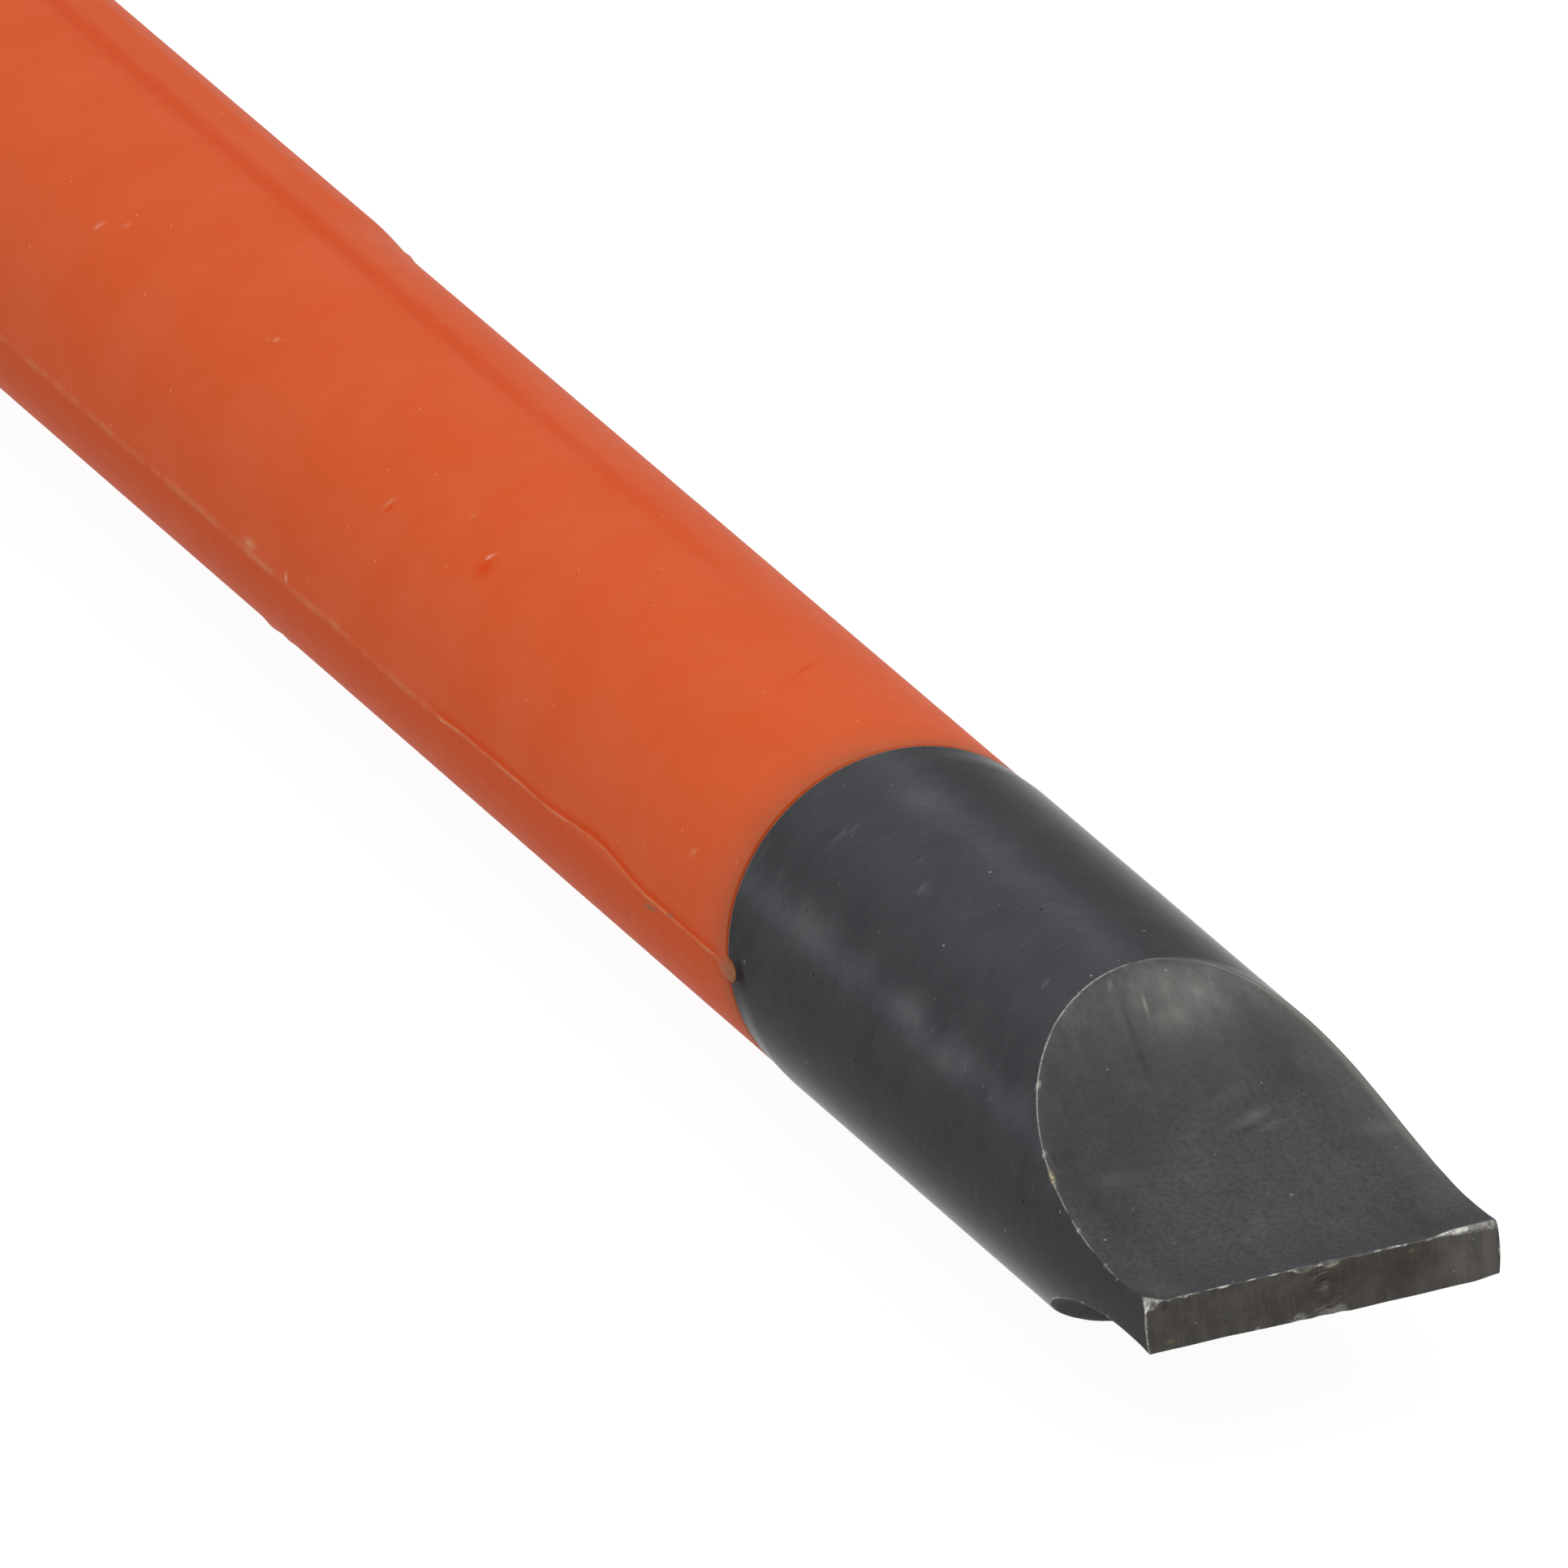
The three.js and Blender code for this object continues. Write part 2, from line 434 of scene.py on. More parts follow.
def turned_round(p, shoulder):
    """Distance outside the turned round, which is chamfered where it meets the sleeve."""
    a, y, z = p.T
    length, depth = SHOULDER_CHAMFER
    chamfer = depth * smoothstep(length, 0, np.abs(a - shoulder))
    return np.hypot(y, z) - BAR_RADIUS + chamfer + 0.004 * noise(p, (6, 4, 4), 11)


def end_relief(p):
    """How far the end face stands out: its lathe rings, its nub, and a rough patch beside it."""
    y, z = p[:, 1], p[:, 2]
    radius = np.hypot(y - NUB_PLACE[0], z - NUB_PLACE[1])
    rings = 0.014 * np.cos(2 * math.pi * radius / RING_PITCH) * smoothstep(RING_REACH, 0.5, radius)
    nub = 0.09 * bell(radius, NUB_RADIUS) - 0.06 * bell(radius - 0.40, 0.12)
    torn = 0.05 * oval(y + 0.3, z - 0.45, 0.8, 0.22) * (0.3 + noise(p, (9, 0.3, 0.22), 33))
    return rings + nub + torn + 0.02 * noise(p, (9, 1.8, 0.9), 31) - 0.03


def worn_down(p):
    """How far the upper flat lies below the wheel's cut, towards the edge that meets the work."""
    a, y, _ = p.T
    depth = WORN_DEPTH * smoothstep(-6.3, -5.5, y) - WORN_CORNER_RISE * smoothstep(3.9, 4.6, y)
    return depth * smoothstep(FLAT_CHANGE_REACH, 0.0, a)


def thickened(p):
    """How far the lower flat stands below the wheel's cut, towards the blade's far corner."""
    a, y, _ = p.T
    depth = THICKENED_BY * smoothstep(-4.5, 2.0, y) * smoothstep(6.3, 5.2, y)
    return depth * smoothstep(FLAT_CHANGE_REACH, 0.0, a)


def chips_along(y, chips):
    """Depth of the named chips (place, half width, depth) along an edge."""
    return sum(depth * bell(y - place, width) for place, width, depth in chips)


def chip_hollow(y, z):
    """The dark hollow in the middle of the chipped corner, 0 to 1."""
    return oval(y - CHIP_HOLLOW[0], z - CHIP_HOLLOW[1], 0.11, 0.14)


def broken_edges(p):
    """Distances outside the planes that bevel the upper edge, the lower edge and the chipped corner."""
    a, y, z = p.T
    ragged = 0.035 * np.maximum(fractal(line_points(y), 0.42, 61, 3), -0.3)
    above = z - TIP_HALF + worn_down(p)
    upper = (above - a) * math.sqrt(0.5) + 0.035 + ragged + chips_along(y, TOP_CHIPS)
    worn = smoothstep(WORN_CORNER_START, WORN_CORNER_START + 2.2, y)
    rise, run = WORN_CORNER_SLOPE
    corner = rise * above - run * a + worn * (0.10 + 1.6 * ragged) - 0.06 * (1 - worn)
    below = -z - TIP_HALF - thickened(p)
    lower = (below - a) * math.sqrt(0.5) + 0.6 * ragged
    rise, run = FLAKE_SLOPE
    flake = rise * below - run * a + chips_along(y, LOWER_FLAKES) - 0.02
    point, normal = (np.array(v) for v in CORNER_CHIP)
    facet = (p - point) @ normal + 0.03 * noise(p, (0.3, 0.3, 0.3), 62) + 0.06 * chip_hollow(y, z)
    return np.maximum(upper, corner), np.maximum(lower, flake), facet


def blade_parts(p):
    """Signed distances, positive outside: round, upper flat, lower flat, end face and broken edges."""
    a, _, z = p.T
    turned = turned_round(p, SLEEVE_FRONT)
    ripple = 0.006 * noise(p, (9, 1.4, 9), 21) + 0.004 * noise(p, (2.5, 0.7, 9), 22)
    ripple += 0.03 * smoothstep(11.5, 14.0, a) * fractal(p, (0.6, 0.6, 0.6), 23, 3)
    upper = WHEEL_RADIUS - np.hypot(a - WHEEL_A, z - WHEEL_Z) + ripple + worn_down(p)
    lower = WHEEL_RADIUS - np.hypot(a - WHEEL_A, -z - WHEEL_Z) + ripple - thickened(p)
    end = -a - end_relief(p)
    return turned, upper, lower, end, *broken_edges(p)


def blade_field(p):
    turned, upper, lower, end, upper_edge, lower_edge, facet = blade_parts(p)
    edge = ARC_ROUNDING + 0.02 * noise(p, (0.7, 0.7, 0.7), 41)
    f = rounded_max(turned, upper, edge)
    f = rounded_max(f, lower, edge)
    f = rounded_max(f, end, edge)
    f = rounded_max(f, upper_edge, BROKEN_ROUNDING)
    f = rounded_max(f, lower_edge, BROKEN_ROUNDING)
    return rounded_max(f, facet, BROKEN_ROUNDING)


def blade_rows():
    """Distances from the end face for the rows of the blade, then of the nose behind it."""
    near = np.array([0, 0.02, 0.04, 0.065, 0.09, 0.12, 0.155])
    even = np.arange(0.2, FLAT_LENGTH - 0.45, 0.09)
    heel = FLAT_LENGTH - (np.linspace(0.66, 0, 23)) ** 2
    blade = np.concatenate([near, even, heel])
    after = FLAT_LENGTH + np.array([0.012, 0.03, 0.06, 0.1, 0.16, 0.25, 0.4])
    nose = np.arange(FLAT_LENGTH + 0.6, SLEEVE_FRONT - 0.4, 0.25)
    shoulder = SLEEVE_FRONT - SHOULDER_GAP - np.array([0.3, 0.15, 0.08, 0.05, 0.03, 0.015, 0])
    return blade, np.concatenate([after, nose, shoulder])


def arc_ring(a, half_angle, side):
    """One side's arc of the round, from the lower edge to the upper one."""
    share = spread(2 * half_angle * BAR_RADIUS, ARC_COLUMNS, EDGE_STEP)
    angle = half_angle * (2 * share - 1)
    y = side * BAR_RADIUS * np.cos(angle)
    z = BAR_RADIUS * np.sin(angle)
    return np.stack([np.full_like(y, a), y, z], axis=1)


def flat_row(a, height, side):
    """One row across a flat, from -y to +y."""
    half = math.sqrt(max(BAR_RADIUS**2 - height**2, 0))
    y = half * (2 * spread(2 * half, FLAT_COLUMNS, EDGE_STEP) - 1)
    return np.stack([np.full_like(y, a), y, np.full_like(y, side * height)], axis=1)


def end_face_grid():
    """The end face: rows up its thickness, columns across its width, and the two rounded sides."""
    corner = math.asin(TIP_HALF / BAR_RADIUS)
    left, right = arc_ring(0, corner, -1), arc_ring(0, corner, 1)
    across = flat_row(0, TIP_HALF, 1)[:, 1]
    grid = np.zeros((ARC_COLUMNS + 1, FLAT_COLUMNS + 1, 3))
    grid[:, :, 1] = across
    grid[:, :, 2] = left[:, 2][:, None]
    grid[1:-1, 0] = left[1:-1]
    grid[1:-1, -1] = right[1:-1]
    return grid


def head_profile():
    """(a, radius) along the struck end's side, and across its struck face to the middle."""
    start = SLEEVE_REAR + SHOULDER_GAP
    taper = BAR_LENGTH - HEAD_TAPER
    body = [start + d for d in (0, 0.015, 0.03, 0.05, 0.08, 0.15, 0.3)]
    body += list(np.arange(start + 0.5, taper - 0.5, 0.25))
    body += [taper - d for d in (0.4, 0.3, 0.2, 0.1, 0)]
    profile = [(a, BAR_RADIUS) for a in body]
    for t in np.linspace(0, 1, 28)[1:]:
        profile.append((taper + t * HEAD_TAPER, BAR_RADIUS + t * (FACE_RADIUS - BAR_RADIUS)))
    face = [(BAR_LENGTH, FACE_RADIUS * t) for t in np.linspace(1, 0, 60)]
    return profile, face


def head_field(p):
    a, y, z = p.T
    radius = np.hypot(y, z)
    turned = turned_round(p, SLEEVE_REAR)
    slope = math.atan2(BAR_RADIUS - FACE_RADIUS, HEAD_TAPER)
    taper = (a - (BAR_LENGTH - HEAD_TAPER)) * math.sin(slope)
    taper = taper + (radius - BAR_RADIUS) * math.cos(slope)
    dents = 0.05 * fractal(p, (5, 1.6, 1.6), 52, 3) - 0.02
    crown = 0.10 * (radius / FACE_RADIUS) ** 2
    face = a - BAR_LENGTH + 0.06 + crown - dents
    lip = 0.10 * bell(a - BAR_LENGTH + 0.5, 0.45) * (0.5 + 0.5 * noise(p, (4, 1.5, 1.5), 54))
    f = rounded_max(turned, taper - lip, 0.8)
    return rounded_max(f, face, 0.30 + 0.10 * noise(p, (4, 1.2, 1.2), 55))


def ring_grid(profile):
    """Whole rings of the round at each (a, radius), split at the top and bottom as on the nose."""
    sides = []
    for side in (-1, 1):
        rings = []
        for a, radius in profile:
            scale = radius / BAR_RADIUS
            rings.append(arc_ring(a, math.pi / 2, side) * (1, scale, scale))
        sides.append(np.array(rings))
    return sides


def edge_wear(points):
    """How bare the steel is at each point of the blade, from 0 for blackened to 1 for bright."""
    turned, upper, lower, end, upper_edge, lower_edge, facet = blade_parts(points)
    a, y, z = points.T
    fine = fractal(points, (0.5, 0.5, 0.5), 71, 3)
    coarse = noise(points, (2.6, 2.6, 2.6), 74)

    def meeting(f, g, width):
        return smoothstep(-width, -0.3 * width, np.minimum(f, g))

    flat = np.maximum(upper, lower)
    near_side = smoothstep(2.5, -1.0, y) * (0.55 + 0.45 * smoothstep(1.0, -4.0, y))
    patchy = smoothstep(-0.2, 0.3, fine + 0.6 * coarse + 0.06 * (a - 8))
    arc = 0.55 * meeting(turned, flat, 0.04) * patchy
    chips = sum(bell(a - place, width) for place, width in ARC_CHIPS)
    arc += 0.8 * chips * meeting(turned, flat, 0.14) * smoothstep(-0.5, 0.2, fine)
    bevel = 0.45 * smoothstep(-0.03, -0.008, upper_edge)
    bevel *= 0.35 + 0.65 * smoothstep(-4.6, -3.4, y)
    bevel *= 1 - 0.55 * smoothstep(3.2, 4.2, y)
    bevel *= smoothstep(-0.1, 0.3, 1.3 * fine + 0.3 * coarse)
    flakes = 0.24 * smoothstep(-0.03, -0.008, lower_edge) * smoothstep(-0.9, 0.5, fine)
    bevel *= 1 - 0.9 * np.clip(10 * chips_along(y, TOP_CHIPS) * (z > 0), 0, 1)
    lip = 0.35 * meeting(upper_edge, end, 0.035) * smoothstep(-0.1, 0.4, fine)
    corner = smoothstep(-0.05, -0.008, upper_edge) * smoothstep(3.4, 5.0, y)
    corner *= 0.22 + 0.45 * fine
    sides = meeting(turned, end, 0.05) * smoothstep(-0.3, 0.2, fine - 0.2 * np.sign(y))
    chipped = smoothstep(-0.03, -0.008, facet) * smoothstep(-0.8, 0.5, fine)
    chipped *= 1 - 0.95 * chip_hollow(y, z)
    return arc * near_side + bevel + flakes + lip + corner + 0.55 * sides + 0.32 * chipped


def head_wear(points):
    """How bare the struck end is: its rim most of all, and the middle where the hammer lands."""
    a, y, z = points.T
    patchy = smoothstep(-0.5, 0.5, fractal(points, (1.2, 1.2, 1.2), 75, 4))
    radius = np.hypot(y, z)
    rim = smoothstep(BAR_LENGTH - 1.6, BAR_LENGTH - 0.4, a)
    rim *= smoothstep(0.6, 0.85, radius / FACE_RADIUS)
    struck = smoothstep(BAR_LENGTH - 0.5, BAR_LENGTH - 0.1, a) * bell(radius, 3.2)
    return (0.45 * rim + 0.35 * struck) * patchy


def add_marks(looks, marks, u, v, where):
    """Adds soft oval marks to the looks, as strongly as where says at each point."""
    for place_u, place_v, half_u, half_v, slant, strength, look in marks:
        looks[look] += strength * where * oval(u - place_u, v - place_v, half_u, half_v, slant)


def blade_marks(points):
    """Lighter rubbed places, darker stained ones and brassy ones, a painted glint and a painted shadow on
    the blade and nose.
    """
    a, y, z = points.T
    angle = np.degrees(np.arctan2(-y, z))
    on_round = smoothstep(0.95, 0.99, np.hypot(y, z) / BAR_RADIUS)
    on_end = smoothstep(0.25, 0.1, a)
    on_top = smoothstep(0.2, 0.6, z) * (1 - on_round) * (1 - on_end)
    broken = smoothstep(-0.6, 0.5, fractal(points, (0.6, 0.6, 0.6), 82, 4))
    looks = {look: np.zeros(len(points)) for look in ("rubbed_and_glint", "stain_and_shadow", "brassy")}
    add_marks(looks, FLAT_MARKS, a, y, on_top * (0.5 + 0.5 * broken))
    add_marks(looks, END_MARKS, y, z, on_end * (0.4 + 0.6 * broken))
    arc = BAR_RADIUS * np.radians(angle)
    nose_marks = [(m[0], BAR_RADIUS * math.radians(m[1]), *m[2:]) for m in NOSE_MARKS]
    add_marks(looks, nose_marks, a, arc, on_round * (0.4 + 0.6 * broken))
    streaked = 0.2 + 0.4 * fractal(points, (9, 0.4, 3), 84, 3)
    looks["rubbed_and_glint"] += on_end * smoothstep(3.6, 5.0, y) * streaked
    looks["stain_and_shadow"] += 0.6 * smoothstep(-0.5, -0.9, z) * (1 - on_round) * (1 - on_end)
    # Painted highlight: a light glint along the upper flat's far edge, added to the rubbed look; it also
    # spreads onto the round beside the flat.
    share = y / np.sqrt(np.maximum(BAR_RADIUS**2 - z**2, 1))
    far_edge = smoothstep(0.2, 0.6, z) * (1 - on_end) * smoothstep(0.5, 3.0, a)
    glint = 0.8 * smoothstep(0.93, 0.99, share) * smoothstep(3, 7, a)
    glint += 0.22 * smoothstep(0.66, 0.95, share)
    looks["rubbed_and_glint"] += glint * far_edge * smoothstep(FLAT_LENGTH + 0.2, FLAT_LENGTH - 0.5, a)
    looks["brassy"] += bell(a - ARC_CHIPS[0][0], 0.4) * (y < 0)
    return looks


# The bar's material slots
TURNED = 0
GROUND = 1
FACED = 2


def bar_sheets():
    """The bar's plain shape, as points, faces and slots: blade, nose, waist and struck end."""
    sheets = Sheets()
    blade, nose = blade_rows()
    heights = flat_height(blade)
    heights[0], heights[-1] = TIP_HALF, BAR_RADIUS
    angles = np.arcsin(np.clip(heights / BAR_RADIUS, 0, 1))
    for side in (-1, 1):
        rings = [arc_ring(a, angle, side) for a, angle in zip(blade, angles)]
        rings += [arc_ring(a, math.pi / 2, side) for a in nose]
        sheets.add(np.array(rings), TURNED)
        rows = [flat_row(a, height, side) for a, height in zip(blade, heights)]
        sheets.add(np.array(rows), GROUND)
    sheets.add(end_face_grid(), FACED)
    waist = [(SLEEVE_FRONT - SHOULDER_GAP, r) for r in (BAR_RADIUS, SHOULDER_ROW, WAIST_RADIUS)]
    waist += [(a, WAIST_RADIUS) for a in np.linspace(SLEEVE_FRONT + 1, SLEEVE_REAR - 1, 12)]
    waist += [(SLEEVE_REAR + SHOULDER_GAP, r) for r in (WAIST_RADIUS, SHOULDER_ROW, BAR_RADIUS)]
    head_side, head_face = head_profile()
    for profile, slot in ((waist, TURNED), (head_side, TURNED), (head_face, FACED)):
        for grid in ring_grid(profile):
            sheets.add(grid, slot)
    return sheets.weld()


def build_bar(materials):
    """The steel bar, with its points pulled onto the worn shape and its looks stored on them."""
    points, faces, slots = bar_sheets()
    skin = np.hypot(points[:, 1], points[:, 2]) > 0.99 * BAR_RADIUS
    on_nose = (points[:, 0] < SLEEVE_FRONT - 0.1) | ((points[:, 0] < SLEEVE_FRONT) & skin)
    on_head = (points[:, 0] > SLEEVE_REAR + 0.1) | ((points[:, 0] > SLEEVE_REAR) & skin)
    share = points[:, 2] / flat_height(np.minimum(points[:, 0], FLAT_LENGTH))
    drop = worn_down(points) * np.clip(share, 0, 1) + thickened(points) * np.clip(-share, 0, 1)
    points[:, 2] -= drop
    points[on_nose] = pull_to_surface(points[on_nose], blade_field)
    points[on_head] = pull_to_surface(points[on_head], head_field)
    on_blade = points[:, 0] < FLAT_LENGTH + 1
    attributes = {look: np.zeros(len(points)) for look in ("worn", "rubbed_and_glint", "stain_and_shadow", "brassy")}
    attributes["worn"][on_blade] = edge_wear(points[on_blade])
    attributes["worn"][on_head] = head_wear(points[on_head])
    for look, values in blade_marks(points[on_nose]).items():
        attributes[look][on_nose] = values
    return make_piece("steel_bar", points, faces, slots, materials, attributes)


# ---- the sleeve's shape


def parting_height(a, angle):
    """Distance below the mould's joint, in millimetres along the surface."""
    places, degrees = zip(*JOINT_LINE)
    near = sum(np.interp(a + step, places, degrees) for step in (-0.5, 0, 0.5)) / 3
    joint = np.where(angle > 0, near, PARTING_ANGLE)
    line = line_points(a + 200 * (angle < 0))
    joint += 0.25 * noise(line, 5.5, 91) + 0.3 * fractal(line, 1.1, 92, 3)
    return SLEEVE_RADIUS * (np.abs(angle) - np.radians(joint))


def parting_ridge(a, angle):
    """Height of the moulding flash along both joints, how dusty it is, and how deep its groove is."""
    v = parting_height(a, angle)
    line = line_points(a + 200 * (angle < 0))
    strength = 0.8 + 0.45 * noise(line, 1.6, 93) + 0.35 * noise(line, 0.4, 94)
    knots = sum(bell(a - place, 0.35) for place in KNOTS)
    bold = np.where(angle > 0, smoothstep(BOLD_END + 0.7, BOLD_END - 0.7, a), 0.5)
    crest = bell(v - 0.05, 0.18 - 0.11 * bold) * (0.6 + 0.4 * bold)
    crest *= strength * (1 + 0.7 * knots)
    groove = smoothstep(-0.45, -0.03, v) * smoothstep(0.03, -0.03, v)
    groove *= (0.15 + 0.75 * bold) * (1 + 0.2 * noise(line, 3.5, 95))
    skirt = smoothstep(-0.02, 0.12, v) * bell(v, 1.4)
    return 0.04 * crest - 0.008 * bell(v + 0.07, 0.05) + 0.022 * skirt, crest, groove


def pad_height(a, angle):
    """The blank raised pad, with soft edges all round."""
    across = np.abs(np.degrees(angle) - PAD_MIDDLE)
    ends = smoothstep(PAD_START, PAD_START + PAD_RAMP, a) * smoothstep(PAD_END, PAD_END - 1.0, a)
    return PAD_HEIGHT * ends * smoothstep(PAD_HALF, PAD_HALF - 9, across)


def sleeve_angles():
    """Angles from -180 to 180 degrees, closer together at both mould joints."""
    even = np.linspace(-math.pi, math.pi, 20001)
    weight = 1 + 5.5 * bell(np.abs(even) - math.radians(PARTING_ANGLE - 0.5), math.radians(5))
    share = np.concatenate([[0], np.cumsum((weight[1:] + weight[:-1]) / 2)])
    return np.interp(np.linspace(0, share[-1], SLEEVE_COLUMNS + 1), share, even)


def sleeve_rows():
    """Distances from the sleeve's front end, closer together at both ends."""
    length = SLEEVE_REAR - SLEEVE_FRONT
    front = np.array([0, 0.01, 0.025, 0.045, 0.07, 0.1, 0.14, 0.19, 0.25, 0.32, 0.4])
    middle = np.arange(0.5, length - 0.45, SLEEVE_STEP)
    return np.concatenate([front, middle, (length - front)[::-1]])


def flash_lump(a, angle):
    """A torn lump of flash that overhangs the steel where the joint meets it, 0 to 1."""
    off = (np.degrees(angle) - FLASH_ANGLE) / FLASH_SPREAD
    return np.sqrt(np.maximum(1 - off**2, 0)) * smoothstep(SLEEVE_FRONT + 0.9, SLEEVE_FRONT + 0.1, a)


def sleeve_skin(a, angle):
    """The sleeve's radius and the strength of each look, at each a and angle."""
    v = SLEEVE_RADIUS * angle
    skin = np.stack([a, SLEEVE_RADIUS * np.sin(angle), SLEEVE_RADIUS * np.cos(angle)], axis=1)
    end = np.minimum(a - SLEEVE_FRONT, SLEEVE_REAR - a)
    radius = SLEEVE_RADIUS + 0.004 * noise(skin, (15, 5, 5), 101) + 0.0015 * noise(skin, (5, 3, 3), 102)
    radius += 0.002 * noise(skin, (0.9, 0.7, 0.7), 103)
    radius -= 0.03 * smoothstep(0.06, 0, end) + 0.015 * bell(end - 0.12, 0.07)
    relief, crest, groove = parting_ridge(a, angle)
    radius += relief * smoothstep(0, 0.5, end) + pad_height(a, angle)
    looks = {look: np.zeros(len(a)) for look in ("grimy", "dark", "dirty", "white")}
    looks.update(dusty=0.55 * crest, rich=groove)
    for place, degrees, half_length, half_width, slant, height, look in SLEEVE_MARKS:
        spot = oval(a - place, v - SLEEVE_RADIUS * math.radians(degrees), half_length, half_width, slant)
        radius += height * spot
        looks[look] += spot
    # Painted shade: a dark, deep orange line along the sleeve's front end, where it meets the steel,
    # given by the rich and dark looks.
    line = smoothstep(0.27, 0.15, end) * (1 - 0.45 * bell(np.degrees(angle), 24))
    film = 0.72 * np.exp(-(a - SLEEVE_FRONT) / FILM_REACH) * (1 - 0.85 * line)
    looks["grimy"] += film * (0.9 + 0.3 * fractal(skin, (1.5, 1.5, 1.5), 105, 3))
    sink = smoothstep(42, 62, a) * (0.7 + 0.3 * smoothstep(60, 85, a))
    sink *= bell(np.degrees(angle) - SINK_ANGLE, SINK_HALF)
    radius -= SINK_DEPTH * sink
    looks["rich"] += 0.95 * line + 0.75 * sink
    looks["dark"] += 0.6 * line
    looks["dirty"] += 0.05 * sink
    lump = flash_lump(a, angle)
    radius += lump * (0.19 + 0.10 * noise(skin, (0.3, 0.3, 0.3), 107))
    looks["dirty"] += 0.9 * lump * smoothstep(SLEEVE_FRONT + 0.7, SLEEVE_FRONT + 0.2, a)
    return radius, looks


def build_sleeve(materials):
    """The orange sleeve, with its looks stored on its points."""
    angles = sleeve_angles()
    rows = SLEEVE_FRONT + sleeve_rows()
    a, angle = (g.reshape(-1) for g in np.meshgrid(rows, angles, indexing="ij"))
    radius, looks = sleeve_skin(a, angle)
    reach = FLASH_REACH * flash_lump(a, angle) * smoothstep(SLEEVE_FRONT + 1.1, SLEEVE_FRONT, a)
    outer = np.stack([a - reach, -radius * np.sin(angle), radius * np.cos(angle)], axis=1)
    return close_sleeve(outer.reshape(len(rows), len(angles), 3), angles, materials, looks)


def close_sleeve(outer, angles, materials, looks):
    """Joins the sleeve's skin to its bore, and stores each look on the skin's points."""
    bore = np.zeros((2, len(angles), 3))
    bore[:, :, 0] = [[SLEEVE_FRONT], [SLEEVE_REAR]]
    bore[:, :, 1] = -SLEEVE_BORE * np.sin(angles)
    bore[:, :, 2] = SLEEVE_BORE * np.cos(angles)
    grid = np.concatenate([bore[:1], outer, bore[1:], bore[:1]])
    rows, columns = grid.shape[:2]
    index = np.arange(rows * columns).reshape(rows, columns)
    index[:, -1] = index[:, 0]
    index[-1] = index[0]
    used, compact = np.unique(grid_quads(index), return_inverse=True)
    faces = list(map(tuple, compact.reshape(-1, 4).tolist()))
    attributes = {}
    for key, values in looks.items():
        whole = np.zeros((rows, columns))
        whole[1:-2] = values.reshape(rows - 3, columns)
        attributes[key] = whole.reshape(-1)[used]
    slots = np.zeros(len(faces), int)
    return make_piece("orange_sleeve", grid.reshape(-1, 3)[used], faces, slots, materials, attributes)


# ---- materials


